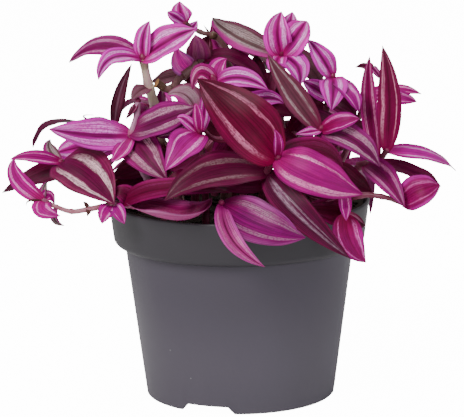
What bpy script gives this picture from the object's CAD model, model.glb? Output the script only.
# Potted tradescantia: striped pink and purple leaves in a dark nursery pot.
import math
import random

import bpy
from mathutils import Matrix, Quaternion, Vector, noise


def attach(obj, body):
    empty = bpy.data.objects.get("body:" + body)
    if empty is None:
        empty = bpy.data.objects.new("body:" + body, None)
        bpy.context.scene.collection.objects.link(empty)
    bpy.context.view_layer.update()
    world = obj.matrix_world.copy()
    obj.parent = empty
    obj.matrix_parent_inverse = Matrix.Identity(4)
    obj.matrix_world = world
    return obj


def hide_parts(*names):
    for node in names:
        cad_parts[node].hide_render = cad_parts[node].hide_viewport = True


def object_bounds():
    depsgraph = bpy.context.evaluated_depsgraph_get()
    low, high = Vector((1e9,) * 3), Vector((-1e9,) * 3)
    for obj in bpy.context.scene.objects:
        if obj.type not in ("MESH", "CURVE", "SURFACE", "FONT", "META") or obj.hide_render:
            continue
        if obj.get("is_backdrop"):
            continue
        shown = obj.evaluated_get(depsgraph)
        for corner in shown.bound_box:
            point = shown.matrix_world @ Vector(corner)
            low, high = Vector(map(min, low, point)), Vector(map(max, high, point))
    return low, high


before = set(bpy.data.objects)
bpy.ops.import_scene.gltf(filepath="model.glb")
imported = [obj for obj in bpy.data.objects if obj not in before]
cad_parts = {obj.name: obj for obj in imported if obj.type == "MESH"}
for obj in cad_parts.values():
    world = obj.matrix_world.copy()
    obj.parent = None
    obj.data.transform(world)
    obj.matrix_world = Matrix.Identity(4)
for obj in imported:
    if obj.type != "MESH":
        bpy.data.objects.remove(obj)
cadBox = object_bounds()
print("frame loaded:", len(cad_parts), "nodes")

mm = 0.001

cameraView = {
    "eye": (-3.2, -1233, 342),  # mm
    "look": (-3.2, 0, 86),
    "lookUp": 83.6,  # mm up the picture, where the camera looks
    "lens": 212.3, "sensor": 36,
    "roll": 0.6,  # degrees
}


def makeCamera(values):
    eye, look = Vector(values["eye"]) * mm, Vector(values["look"]) * mm
    lens = bpy.data.cameras.new("camera")
    lens.lens = values["lens"]
    lens.sensor_width = values["sensor"]
    camera = bpy.data.objects.new("camera", lens)
    bpy.context.scene.collection.objects.link(camera)
    camera.location = eye
    camera.rotation_mode = "QUATERNION"
    aim = (look - eye).to_track_quat("-Z", "Y")
    camera.rotation_quaternion = aim @ Quaternion((0, 0, 1), -math.radians(values["roll"]))
    bpy.context.scene.camera = camera


makeCamera(cameraView)
print("camera made")


class Nodes:
    # the shader nodes of one tree, each made by a short call
    def __init__(self, tree):
        self.tree = tree

    def feed(self, value, socket):
        if isinstance(value, bpy.types.NodeSocket):
            self.tree.links.new(value, socket)
        else:
            socket.default_value = value

    def make(self, kind, values=(), **settings):
        node = self.tree.nodes.new("ShaderNode" + kind)
        for label, setting in settings.items():
            setattr(node, label, setting)
        for label, value in dict(values).items():
            self.feed(value, node.inputs[label])
        return node

    def work(self, operation, *values, clamp=False):
        return self.make("Math", enumerate(values), operation=operation, use_clamp=clamp).outputs[0]

    def add(self, first, *others):
        for other in others:
            first = self.work("ADD", first, other)
        return first

    def times(self, first, *others):
        for other in others:
            first = self.work("MULTIPLY", first, other)
        return first

    def plus(self, value, factor, offset):
        return self.work("MULTIPLY_ADD", value, factor, offset)

    def around(self, value, spread, middle=0.0):
        # a value of 0 to 1, spread evenly about a middle
        return self.plus(value, spread, middle - spread / 2)

    def smooth(self, value, low, high, toLow=0.0, toHigh=1.0):
        values = enumerate((value, low, high, toLow, toHigh))
        return self.make("MapRange", values, interpolation_type="SMOOTHSTEP").outputs[0]

    def blend(self, share, first, second):
        return self.make("Mix", {0: share, 6: first, 7: second}, data_type="RGBA").outputs[2]

    def noise(self, place, scale, detail=2.0, roughness=0.5):
        values = {"Vector": place, "Scale": scale, "Detail": detail, "Roughness": roughness}
        return self.make("TexNoise", values).outputs["Fac"]

    def point(self, *values):
        return self.make("CombineXYZ", enumerate(values)).outputs[0]

    def split(self, vector):
        return self.make("SeparateXYZ", {0: vector}).outputs


def makeGroup(name, takes, gives):
    # a number makes a number socket, and a colour or None a colour socket
    group = bpy.data.node_groups.new(name, "ShaderNodeTree")
    for label, value in takes.items():
        kind = "NodeSocketFloat" if isinstance(value, float) else "NodeSocketColor"
        socket = group.interface.new_socket(label, in_out="INPUT", socket_type=kind)
        if value is not None:
            socket.default_value = value
    for label in gives:
        kind = "NodeSocketColor" if label == "Color" else "NodeSocketFloat"
        group.interface.new_socket(label, in_out="OUTPUT", socket_type=kind)
    start = group.nodes.new("NodeGroupInput").outputs
    end = group.nodes.new("NodeGroupOutput").inputs
    return Nodes(group), start, end


leafMarks = {
    # noise: turns across the leaf and along it, detail, roughness
    "slow": (1.6, 3.2), "fine": (15.0, 2.2, 3.0, 0.6), "speckle": (17.0, 36.0, 1.0, 0.6),
    "grain": (40.0, 80.0, 2.0, 0.7), "lines": (26.0, 1.6), "seedStep": 37.0, "veins": 46.0,
    # from where to where: 0 to 1 is out from the midrib, along from the base, or a noise's range
    "baseFade": (0.02, 0.2), "tipFade": (0.88, 1.0), "tipStripe": 0.1, "bandCore": 0.55,
    "streakRange": (0.36, 0.58), "speckleRange": (0.34, 0.54), "speckled": 0.35,
    "marginRange": (0.62, 0.92), "edgeRange": (0.88, 1.0), "edgeShade": 0.6,
    "farRange": (-0.6, -0.2), "flushed": 0.85, "tipRange": (0.35, 1.0), "lineRange": (0.36, 0.62),
    # how far noise moves the stripes, and how much it shades
    "slowSway": 0.3, "fineSway": 0.14, "seedLean": 0.24, "ribSway": 0.1, "farSway": 0.3,
    "slowShade": 0.6, "seedShade": 0.3, "grainShade": 0.5, "veinShade": 0.06, "hueSpread": 0.02,
    "veinRelief": 0.25, "grainRelief": 0.5, "slowRelief": 1.5, "ribRelief": -0.8,
    "satin": 0.32, "grainSatin": 0.2, "stripeSatin": -0.1,
}


def makeLeafMarkings(marks):
    # two pale bands either side of the midrib, drawn along the leaf in fine streaks
    net, take, give = makeGroup("leafMarkings", {
        "Blade": None, "Margin": None, "Midrib": None, "Stripe": None, "Flush": None,
        "Far Side": (0.3, 0.05, 0.2, 1.0), "Far Share": 0.0, "Stripe Place": 0.45,
        "Stripe Width": 0.2, "Stripe Strength": 0.8, "Uneven": 0.0, "Streaks": 0.5,
        "Midrib Width": 0.12, "Flush Reach": 0.3, "Tip Shade": 0.3, "Lines": 0.25,
    }, ("Color", "Height", "Satin"))
    add, times, plus, around = net.add, net.times, net.plus, net.around
    smooth, blend = net.smooth, net.blend
    spot = net.split(net.make("UVMap", uv_map="leaf").outputs[0])
    seed = net.make("Attribute", attribute_name="leafSeed").outputs["Fac"]
    across, along = plus(spot[0], 2.0, -1.0), spot[1]
    out = net.work("ABSOLUTE", across)

    def drawn(name):
        overWide, overLong, *kind = marks[name]
        shift = times(seed, marks["seedStep"])  # no two leaves have the same noise
        place = net.point(times(across, overWide), times(along, overLong), shift)
        return net.noise(place, 1.0, *kind)

    slow, fine, speckle, grain = [drawn(name) for name in ("slow", "fine", "speckle", "grain")]
    place = add(out, around(slow, marks["slowSway"]), around(fine, marks["fineSway"]))
    farSide = plus(smooth(across, -0.1, 0.1), 2.0, -1.0)  # -1 on one half, 1 on the other
    lean = add(times(take["Uneven"], farSide), times(around(seed, marks["seedLean"]), farSide), 1.0)
    width = times(take["Stripe Width"], lean)
    far = net.work("ABSOLUTE", net.work("SUBTRACT", place, take["Stripe Place"]))
    band = smooth(far, times(width, marks["bandCore"]), width, 1.0, 0.0)
    ends = times(smooth(along, *marks["baseFade"]),
                 smooth(along, *marks["tipFade"], 1.0, marks["tipStripe"]))
    gone = times(take["Streaks"], smooth(fine, *marks["streakRange"], 1.0, 0.0))
    dots = smooth(speckle, *marks["speckleRange"], marks["speckled"], 1.0)
    worn = times(net.work("SUBTRACT", 1.0, gone), dots)
    mask = net.work("MULTIPLY", times(band, ends), times(worn, take["Stripe Strength"]), clamp=True)
    rib = smooth(add(out, around(fine, marks["ribSway"])), 0.0, take["Midrib Width"], 1.0, 0.0)
    farMask = smooth(add(across, around(fine, marks["farSway"])), *marks["farRange"], 1.0, 0.0)
    flush = smooth(along, 0.0, take["Flush Reach"], marks["flushed"], 0.0)
    colour = blend(smooth(place, *marks["marginRange"]), take["Blade"], take["Margin"])
    colour = blend(rib, colour, take["Midrib"])
    colour = blend(mask, colour, take["Stripe"])
    colour = blend(times(farMask, take["Far Share"]), colour, take["Far Side"])
    colour = blend(times(flush, plus(mask, -0.5, 1.0)), colour, take["Flush"])  # half over stripes
    veins = net.work("SINE", times(across, marks["veins"]))
    lines = smooth(drawn("lines"), *marks["lineRange"], -0.5, 0.5)
    shade = times(
        plus(veins, marks["veinShade"], 1.0 - marks["veinShade"]),
        around(slow, marks["slowShade"], 1.0),
        around(seed, marks["seedShade"], 1.0),
        smooth(out, *marks["edgeRange"], 1.0, marks["edgeShade"]),  # thin dark margin
        plus(lines, times(take["Lines"], 2.0), 1.0),
        around(grain, marks["grainShade"], 1.0),
        plus(times(smooth(along, *marks["tipRange"]), take["Tip Shade"]), -1.0, 1.0),
    )
    tint = {"Hue": around(seed, marks["hueSpread"], 0.5), "Value": shade, "Color": colour}
    net.feed(net.make("HueSaturation", tint).outputs[0], give["Color"])
    relief = add(times(veins, marks["veinRelief"]), times(grain, marks["grainRelief"]),
                 times(slow, marks["slowRelief"]), times(rib, marks["ribRelief"]))
    net.feed(relief, give["Height"])
    satin = plus(grain, marks["grainSatin"], marks["satin"])
    net.feed(plus(mask, marks["stripeSatin"], satin), give["Satin"])
    return net.tree


def makeMottle():
    # broad and fine noise in the object's own space, for bark, soil and the floor
    net, take, give = makeGroup("mottle", {
        "Scale": 100.0, "Stretch": 1.0, "First": None, "Second": None, "Fleck": None,
        "Fleck Share": 0.0,
    }, ("Color", "Height"))
    place = net.make("TexCoord").outputs["Object"]
    x, y, up = net.split(place)
    drawn = net.point(x, y, net.work("DIVIDE", up, take["Stretch"]))
    broad = net.noise(drawn, take["Scale"], 3.0)
    fine = net.noise(drawn, net.times(take["Scale"], 9.0), 3.0, 0.65)
    both = net.plus(fine, 0.4, net.times(broad, 0.6))
    colour = net.blend(net.smooth(both, 0.36, 0.64), take["First"], take["Second"])
    speck = net.noise(place, net.times(take["Scale"], 4.3), 1.0)
    level = net.work("SUBTRACT", 0.82, net.times(take["Fleck Share"], 0.3))
    fleck = net.smooth(speck, level, net.add(level, 0.04))
    net.feed(net.blend(fleck, colour, take["Fleck"]), give["Color"])
    net.feed(net.add(both, net.times(fleck, 0.4)), give["Height"])
    return net.tree


leafMarkings = makeLeafMarkings(leafMarks)
mottle = makeMottle()


def makeMaterial(name, group, values, bump, fixed):
    # bump: its strength, and its depth in mm
    material = bpy.data.materials.new(name)
    material.use_nodes = True
    net = Nodes(material.node_tree)
    shader = net.tree.nodes["Principled BSDF"].inputs
    effect = net.tree.nodes.new("ShaderNodeGroup")
    effect.node_tree = group
    for label, value in values.items():
        net.feed((*value, 1.0) if isinstance(value, tuple) else value, effect.inputs[label])
    net.feed(effect.outputs["Color"], shader["Base Color"])
    if "Satin" in effect.outputs:
        net.feed(effect.outputs["Satin"], shader["Roughness"])
    relief = {"Strength": bump[0], "Distance": bump[1] * mm, "Height": effect.outputs["Height"]}
    net.feed(net.make("Bump", relief).outputs[0], shader["Normal"])
    for label, value in fixed.items():
        shader[label].default_value = value
    return material


def tone(blade, margin, midrib, stripe, flush, band, ribWidth, flushReach, tipShade=0.3, more={}):
    # colours as linear red, green, blue; band: the stripe's place, width, strength and streaks
    place, width, strength, streaks = band
    return {"Blade": blade, "Margin": margin, "Midrib": midrib, "Stripe": stripe, "Flush": flush,
            "Stripe Place": place, "Stripe Width": width, "Stripe Strength": strength,
            "Streaks": streaks, "Midrib Width": ribWidth, "Flush Reach": flushReach,
            "Tip Shade": tipShade, **more}


leafTones = {
    "orchid": tone((0.5, 0.005, 0.3), (0.75, 0.03, 0.52), (0.17, 0, 0.07), (1, 0.38, 0.88),
                   (0.42, 0, 0.15), (0.48, 0.2, 0.95, 0.6), 0.26, 0.28, 0.1, {"Lines": 0.35}),
    "magenta": tone((0.36, 0, 0.2), (0.42, 0, 0.25), (0.28, 0, 0.13), (1, 0.28, 0.72),
                    (0.34, 0, 0.11), (0.52, 0.14, 0.95, 0.5), 0.12, 0.28, 0.15,
                    {"Uneven": -0.35}),
    "mauve": tone((0.225, 0, 0.1), (0.35, 0.007, 0.192), (0.158, 0, 0.058), (0.7, 0.22, 0.48),
                  (0.283, 0, 0.083), (0.52, 0.18, 0.9, 0.6), 0.3, 0.22, 0.15, {"Lines": 0.3}),
    "violet": tone((0.208, 0, 0.108), (0.333, 0.042, 0.225), (0.183, 0, 0.1), (0.36, 0.15, 0.25),
                   (0.217, 0, 0.067), (0.52, 0.18, 0.95, 0.7), 0.3, 0.3, 0,
                   {"Uneven": -0.2, "Lines": 0.35}),
    "wine": tone((0.1, 0, 0.024), (0.15, 0, 0.042), (0.083, 0, 0.02), (0.5, 0.13, 0.26),
                 (0.208, 0, 0.046), (0.56, 0.125, 0.95, 0.6), 0.2, 0.35, 0.5, {"Uneven": -0.4}),
    "striped": tone((0.138, 0, 0.042), (0.25, 0.017, 0.083), (0.117, 0, 0.035), (0.95, 0.6, 0.66),
                    (0.167, 0, 0.058), (0.5, 0.17, 0.98, 0.45), 0.2, 0.25, 0),
    "olive": tone((0.083, 0.002, 0.03), (0.108, 0.003, 0.042), (0.067, 0.002, 0.025),
                  (0.2, 0.1, 0.125), (0.133, 0, 0.042), (0.5, 0.16, 0.9, 0.6), 0.15, 0.3, 0.15),
    "plain": tone((0.092, 0, 0.029), (0.117, 0, 0.042), (0.075, 0, 0.025), (0.2, 0.03, 0.09),
                  (0.15, 0, 0.042), (0.5, 0.2, 0.3, 0.5), 0.15, 0.3, 0.3),
    "dusky": tone((0.158, 0.005, 0.075), (0.3, 0.008, 0.167), (0.117, 0.002, 0.046),
                  (0.62, 0.3, 0.44), (0.233, 0.003, 0.092), (0.5, 0.24, 0.85, 0.6), 0.2, 0.25,
                  0.1),
    "crimson": tone((0.117, 0, 0.035), (0.233, 0, 0.1), (0.083, 0, 0.023), (0.24, 0.015, 0.12),
                    (0.1, 0, 0.025), (0.5, 0.15, 0.5, 0.6), 0.2, 0.4, 0.3),
    "lilac": tone((0.36, 0.03, 0.18), (0.55, 0.06, 0.36), (0.13, 0, 0.045), (0.62, 0.17, 0.4),
                  (0.36, 0, 0.16), (0.55, 0.22, 0.8, 0.8), 0.22, 0.3, 0.1, {"Lines": 0.4}),
    "trough": tone((0.2, 0, 0.075), (0.35, 0.042, 0.2), (0.133, 0, 0.042), (0.3, 0.05, 0.14),
                   (0.333, 0.05, 0.167), (0.4, 0.2, 0.6, 0.6), 0.15, 0.15, 0.3),
    "brown": tone((0.2, 0.067, 0.108), (0.283, 0.058, 0.15), (0.133, 0.042, 0.058),
                  (0.3, 0.14, 0.18), (0.233, 0.033, 0.092), (0.5, 0.3, 0.5, 0.6), 0.15, 0.3, 0.3),
    "lead": tone((0.071, 0.002, 0.032), (0.108, 0.002, 0.046), (0.083, 0.008, 0.05),
                 (0.3, 0.18, 0.26), (0.1, 0, 0.037), (0.14, 0.15, 0.9, 0.75), 0.05, 0.2, 0.1,
                 {"Uneven": 0.3, "Lines": 0.4}),
    "dry": tone((0.067, 0.018, 0.018), (0.1, 0.033, 0.029), (0.042, 0.013, 0.01),
                (0.16, 0.07, 0.06), (0.067, 0.017, 0.017), (0.45, 0.2, 0.8, 0.5), 0.12, 0.3, 0.3),
    "sage": tone((0.115, 0.06, 0.065), (0.2, 0.04, 0.1), (0.12, 0.055, 0.065), (0.54, 0.4, 0.42),
                 (0.34, 0.01, 0.15), (0.42, 0.34, 0.85, 0.6), 0.12, 0.25, 0.45,
                 {"Far Side": (0.46, 0.012, 0.26), "Far Share": 0.9}),
}
# kinds that stray a little from another one
leafTones.update({
    "fuchsia": {**leafTones["orchid"], "Stripe": (1, 0.27, 0.82), "Stripe Width": 0.32,
                "Streaks": 0.75, "Midrib": (0.16, 0, 0.07), "Midrib Width": 0.34, "Uneven": 0.3},
    "frontMagenta": {**leafTones["magenta"], "Blade": (0.28, 0, 0.15), "Margin": (0.33, 0, 0.18),
                     "Lines": 0.2, "Flush": (0.29, 0, 0.115), "Uneven": 0.4,
                     "Stripe": (0.8, 0.24, 0.52), "Stripe Place": 0.6, "Stripe Width": 0.15,
                     "Midrib": (0.25, 0, 0.125), "Streaks": 0.7},
    "ruby": {**leafTones["magenta"], "Blade": (0.3, 0, 0.125), "Flush": (0.217, 0, 0.037),
             "Flush Reach": 0.6, "Stripe": (1, 0.2, 0.68), "Stripe Place": 0.6,
             "Stripe Width": 0.13, "Midrib": (0.25, 0, 0.083)},
    "hotPink": {**leafTones["orchid"], "Blade": (0.6, 0, 0.34), "Margin": (0.5, 0, 0.27),
                "Midrib": (0.5, 0, 0.28), "Stripe": (1, 0.4, 0.8), "Stripe Place": 0.56,
                "Stripe Width": 0.12, "Midrib Width": 0.12},
    "garnet": {**leafTones["wine"], "Blade": (0.16, 0, 0.045), "Margin": (0.19, 0, 0.06),
               "Stripe": (0.75, 0.26, 0.42), "Flush": (0.27, 0, 0.075), "Tip Shade": 0.3},
    "rosy": {**leafTones["magenta"], "Blade": (0.25, 0, 0.092), "Margin": (0.433, 0.017, 0.283),
             "Midrib": (0.2, 0, 0.058), "Stripe": (0.55, 0.1, 0.34), "Stripe Width": 0.12,
             "Streaks": 0.8},
    "blush": {**leafTones["mauve"], "Blade": (0.9, 0.04, 0.5), "Margin": (0.55, 0.14, 0.48),
              "Midrib": (0.8, 0.01, 0.4), "Stripe": (0.9, 0.2, 0.6)},
    "fawn": {**leafTones["dusky"], "Blade": (0.283, 0.017, 0.133), "Margin": (0.25, 0.042, 0.108),
             "Midrib": (0.36, 0.05, 0.2), "Midrib Width": 0.3, "Stripe": (0.4, 0.12, 0.22),
             "Stripe Place": 0.3},
    "slim": {**leafTones["dusky"], "Blade": (0.167, 0.017, 0.058),
             "Margin": (0.075, 0.008, 0.029), "Midrib": (0.458, 0.2, 0.3), "Midrib Width": 0.32,
             "Stripe Strength": 0.2},
    "moss": {**leafTones["olive"], "Blade": (0.158, 0.037, 0.062), "Margin": (0.2, 0.025, 0.071),
             "Midrib": (0.1, 0.025, 0.042), "Stripe": (0.5, 0.36, 0.38),
             "Flush": (0.25, 0.017, 0.075), "Stripe Width": 0.14},
    "sagePink": {**leafTones["sage"], "Blade": (0.3, 0.13, 0.21), "Stripe": (0.4, 0.26, 0.3),
                 "Tip Shade": 0},
})
leafUnders = {  # lower faces of the leaves: which one a tone has is in underOf
    "underPink": tone((0.34, 0.004, 0.18), (0.4, 0.01, 0.24), (0.42, 0.02, 0.25),
                      (0.5, 0.1, 0.36), (0.4, 0, 0.13), (0.46, 0.28, 0.35, 0.4), 0.1, 0.3, 0.3),
    "underLilac": tone((0.42, 0.05, 0.22), (0.5, 0.12, 0.32), (0.3, 0.02, 0.15), (0.5, 0.12, 0.3),
                       (0.36, 0.05, 0.17), (0.46, 0.28, 0.5, 0.6), 0.1, 0.3, 0.3),
    "underWine": tone((0.083, 0, 0.027), (0.108, 0, 0.042), (0.15, 0.008, 0.058),
                      (0.16, 0.03, 0.09), (0.142, 0, 0.042), (0.46, 0.28, 0.25, 0.4), 0.1, 0.3,
                      0.3),
}
pinkBelow = ("orchid", "fuchsia", "hotPink", "magenta", "frontMagenta", "ruby", "rosy", "crimson",
             "lilac", "violet", "sage", "sagePink")
underOf = {**{kind: "underPink" for kind in pinkBelow}, "trough": "underLilac"}
leafBump = (0.35, 0.12)
leafShine = {"Subsurface Weight": 0.25, "Subsurface Radius": (1.0, 0.25, 0.5),
             "Subsurface Scale": 0.0012, "Specular IOR Level": 0.1}


def bark(scale, stretch, first, second, fleck, share):
    return {"Scale": scale, "Stretch": stretch, "First": first, "Second": second, "Fleck": fleck,
            "Fleck Share": share}


barks = {
    "barkWine": bark(260, 4, (0.15, 0.013, 0.042), (0.25, 0.042, 0.1), (0.3, 0.133, 0.167), 0.25),
    "barkPale": bark(200, 5, (0.72, 0.6, 0.42), (0.66, 0.36, 0.42), (0.4, 0.42, 0.2), 0.3),
    "barkLilac": bark(240, 4, (0.46, 0.24, 0.36), (0.36, 0.12, 0.24), (0.6, 0.42, 0.5), 0.3),
    "barkRose": bark(240, 4, (0.42, 0.16, 0.21), (0.32, 0.08, 0.13), (0.5, 0.34, 0.32), 0.3),
    "barkBrown": bark(240, 4, (0.167, 0.058, 0.067), (0.267, 0.125, 0.125), (0.1, 0.05, 0.033),
                      0.3),
    "sheath": bark(300, 6, (0.5, 0.2, 0.32), (0.42, 0.07, 0.2), (0.6, 0.4, 0.42), 0.3),
    "bud": bark(300, 1, (0.167, 0, 0.042), (0.25, 0.004, 0.083), (0.3, 0.05, 0.133), 0.3),
    "dryBrown": bark(300, 3, (0.067, 0.025, 0.017), (0.133, 0.067, 0.042), (0.25, 0.167, 0.1),
                     0.3),
    "cutWood": bark(500, 1, (0.5, 0.26, 0.08), (0.34, 0.14, 0.05), (0.6, 0.42, 0.2), 0.3),
}
barkBump = (0.4, 0.15)
barkShine = {"Roughness": 0.42, "Subsurface Weight": 0.1, "Subsurface Radius": (1.0, 0.3, 0.4),
             "Subsurface Scale": 0.001}

finishes = {}
for name, values in {**leafTones, **leafUnders}.items():
    finishes[name] = makeMaterial(name, leafMarkings, values, leafBump, leafShine)
for name, values in barks.items():
    finishes[name] = makeMaterial(name, mottle, values, barkBump, barkShine)
print("leaf and stem finishes made:", len(finishes))


class Shape:
    # points and faces of one piece, gathered and then made into a mesh
    def __init__(self):
        self.points, self.uvs, self.seeds = [], [], []
        self.faces, self.kinds, self.used = [], [], []  # used: the finishes of this piece

    def addPoint(self, point, uv=(0.5, 0.5), seed=0.5):
        self.points.append(point)
        self.uvs.append(uv)
        self.seeds.append(seed)
        return len(self.points) - 1

    def addFace(self, corners, finish):
        if finish not in self.used:
            self.used.append(finish)
        self.faces.append(corners)
        self.kinds.append(self.used.index(finish))

    def addRings(self, rings, finish, closed=True):
        # rings: lists of point numbers, all of one length
        count = len(rings[0])
        for low, high in zip(rings, rings[1:]):
            for i in range(count if closed else count - 1):
                j = (i + 1) % count
                self.addFace((low[i], low[j], high[j], high[i]), finish)

    def capEnds(self, rings, finish):
        self.addFace(tuple(rings[0][::-1]), finish)
        self.addFace(tuple(rings[-1]), finish)

    def make(self, name, sharp=None):
        # sharp: the angle in degrees from which an edge shows
        mesh = bpy.data.meshes.new(name)
        mesh.from_pydata([point * mm for point in self.points], [], self.faces)
        for finish in self.used:
            mesh.materials.append(finishes[finish])
        mesh.polygons.foreach_set("material_index", self.kinds)
        mesh.polygons.foreach_set("use_smooth", [True] * len(self.faces))
        spread = [v for loop in mesh.loops for v in self.uvs[loop.vertex_index]]
        mesh.uv_layers.new(name="leaf").data.foreach_set("uv", spread)
        mesh.attributes.new("leafSeed", "FLOAT", "POINT").data.foreach_set("value", self.seeds)
        mesh.update()
        if sharp:
            mesh.set_sharp_from_angle(angle=math.radians(sharp))
        piece = bpy.data.objects.new(name, mesh)
        bpy.context.scene.collection.objects.link(piece)
        return piece


def spotOf(point):
    # from [across, up, depth] as seen from the front to the part's own frame
    across, up, depth = point
    high = up - cameraView["lookUp"]
    eye, look = Vector(cameraView["eye"]), Vector(cameraView["look"])
    down = math.atan2(eye.z - look.z, look.y - eye.y)
    onPlane = Vector((across, high * math.sin(down), look.z + high * math.cos(down)))
    ray = onPlane - eye
    return eye + ray * ((depth - eye.y) / ray.y)


class StemCurve:
    # smooth curve through its points, the spacing of which sets its speed
    def __init__(self, points):
        self.points = points

    def at(self, t):
        points = self.points
        last = len(points) - 1
        place = min(max(t, 0.0), 1.0) * last
        k = min(int(place), last - 1)
        share = place - k
        p1, p2 = points[k], points[k + 1]
        p0 = points[k - 1] if k > 0 else p1 * 2 - p2
        p3 = points[k + 2] if k + 2 <= last else p2 * 2 - p1
        spans = ((p0, p1), (p1, p2), (p2, p3))
        d0, d1, d2 = (max((b - a).length_squared ** 0.25, 1e-4) for a, b in spans)
        v1 = ((p1 - p0) / d0 - (p2 - p0) / (d0 + d1) + (p2 - p1) / d1) * d1
        v2 = ((p2 - p1) / d1 - (p3 - p1) / (d1 + d2) + (p3 - p2) / d2) * d1
        c2 = (p2 - p1) * 3 - v1 * 2 - v2
        c3 = (p1 - p2) * 2 + v1 + v2
        return p1 + v1 * share + c2 * share**2 + c3 * share**3

    def along(self, t):
        step = 0.0005
        return (self.at(min(t + step, 1.0)) - self.at(max(t - step, 0.0))).normalized()


leafForm = {
    "widestAt": 0.38, "baseFullness": 0.6, "tipFullness": 0.95, "clasp": 0.02, "leastHalf": 0.12,
    "fold": 0.22, "foldPower": 1.35,  # margins rise over the midrib, per half width
    "ripple": 0.035, "rippleTurn": 11,  # the wave that the solid has too
    "fineWave": 0.022, "fineTurns": 2.6, "farShift": 1.3, "turn": 6.28,  # radians
    "calmBase": 9, "calmTip": 6,  # waves fade in over a ninth and out over a sixth of the length
    "middleThickness": 0.5, "marginThickness": 0.24, "thinning": 0.7,
    "keel": 0.3, "keelWidth": 0.12,
    "stepLength": 1.5, "steps": (9, 30), "stepPower": 1.15,  # mm along the leaf
    "narrow": 8, "narrowColumns": 4, "columns": 6,  # to either side of the midrib
}


def bladeWidth(t):
    form = leafForm

    def outline(u):
        return (u + form["clasp"]) ** form["baseFullness"] * max(1 - u, 0.0) ** form["tipFullness"]

    return outline(t) / outline(form["widestAt"])


def addLeaf(shape, base, row, draw):
    form = leafForm
    mid, tip, width, kind = row["mid"], row["tip"], row["width"], row["tone"]
    bend = mid * 2 - base * 0.5 - tip * 0.5
    length = (mid - base).length + (tip - mid).length
    fewest, most = form["steps"]
    steps = int(min(most, max(fewest, length / form["stepLength"])))
    columns = form["narrowColumns"] if width < form["narrow"] else form["columns"]
    phase, seed = draw.uniform(0, form["turn"]), draw.random()
    tops, unders = [], []
    for k in range(steps + 1):
        t = 1 - (1 - k / steps) ** form["stepPower"]
        centre = base * (1 - t) ** 2 + bend * 2 * t * (1 - t) + tip * t**2
        along = ((bend - base) * (1 - t) + (tip - bend) * t).normalized()
        side = along.cross(row["facing"]).normalized()
        face = side.cross(along).normalized()
        half = max(form["leastHalf"], width / 2 * bladeWidth(t))
        calm = min(1.0, form["calmBase"] * t) * min(1.0, form["calmTip"] * (1 - t))
        ripple = form["ripple"] * width * math.sin(form["rippleTurn"] * t) * calm
        top, under = [], []
        for i in range(-columns, columns + 1):
            u = i / columns
            shift = phase + (form["farShift"] if u > 0 else 0)
            rise = row["fold"] * half * abs(u) ** form["foldPower"]
            rise -= math.copysign(u * u, u) * ripple
            swing = math.sin(form["fineTurns"] * form["turn"] * t + shift)
            rise += u * u * form["fineWave"] * width * swing * calm
            thinner = form["marginThickness"] - form["middleThickness"]
            thick = form["middleThickness"] + thinner * abs(u) ** form["thinning"]
            keel = form["keel"] * math.exp(-((u / form["keelWidth"]) ** 2)) * (1 - t)
            spot = centre + side * (half * u) + face * rise
            uv = (0.5 + 0.5 * u, t)
            top.append(shape.addPoint(spot + face * (thick / 2), uv, seed))
            under.append(shape.addPoint(spot - face * (thick / 2 + keel), uv, seed))
        tops.append(top)
        unders.append(under)
    shape.addRings(tops, kind, closed=False)
    below = underOf.get(kind, "underWine")
    shape.addRings([under[::-1] for under in unders], below, closed=False)
    for low, high, lowUnder, highUnder in zip(tops, tops[1:], unders, unders[1:]):
        shape.addFace((low[0], high[0], highUnder[0], lowUnder[0]), kind)
        shape.addFace((low[-1], lowUnder[-1], highUnder[-1], high[-1]), kind)
    for top, under, step in ((tops[0], unders[0], -1), (tops[-1], unders[-1], 1)):
        for i in range(2 * columns):
            shape.addFace((top[i], top[i + 1], under[i + 1], under[i])[::step], kind)


stemForm = {
    "depth": 22, "soilTop": 84, "start": (2, 6),  # mm; start: the first points over the soil
    "sides": 12, "stepsEach": 7, "taperFrom": 2, "taper": 0.62, "swelling": 0.2, "swellReach": 0.1,
    "firstPoint": 3,  # where the path begins on the curve
    "endTuck": 0.12,  # the last leaf leaves the stem this much before its end
    "steady": (0.31, 0.95, 0.05),  # keeps the rings of a tube from turning
    "cutSteps": 4, "cutFlare": 1.15,
    "dome": ((0.3, 0.8), (0.7, 0.5), (0.9, 0.15)),  # ahead of the end and radius, per radius
    "sheathFrom": 5,  # narrowest leaf with a sheath, mm
    "sheathAt": (-4.2, -1.2, 0.6), "sheathFlare": (1.05, 1.14, 1.28), "sheathSides": 14,
    "knotAt": (-0.5, -0.3, 0.3, 0.5), "knotFlare": (0.7, 1, 1.1, 0.75),
}
cutStems = {"shoot_top_cut"}
sheathOf = {"barkPale": "barkPale", "barkWine": "barkWine", "barkBrown": "barkBrown"}
# thickened joints: place on the path, length and radius in mm, finish
stemKnots = {
    "shoot_top_bud": [(3.2, 3.4, 1.7, "dryBrown")],
    "shoot_left_trailing": [(2, 1.6, 1.25, "dryBrown")],
    "shoot_top_cut": [(4.9, 2.2, 1.9, "dryBrown")],
}


def addTube(shape, centres, radii, directions, finish, sides=stemForm["sides"], capEnd=True):
    rings = []
    for centre, radius, along in zip(centres, radii, directions):
        side = along.cross(Vector(stemForm["steady"])).normalized()
        back = side.cross(along).normalized()
        ring = []
        for i in range(sides):
            turn = -2 * math.pi * i / sides
            spot = centre + side * (radius * math.cos(turn)) + back * (radius * math.sin(turn))
            ring.append(shape.addPoint(spot, (i / sides, 0.5)))
        rings.append(ring)
    shape.addRings(rings, finish)
    shape.addFace(tuple(rings[0][::-1]), finish)
    if capEnd:
        shape.addFace(tuple(rings[-1]), finish)
    return rings


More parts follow.
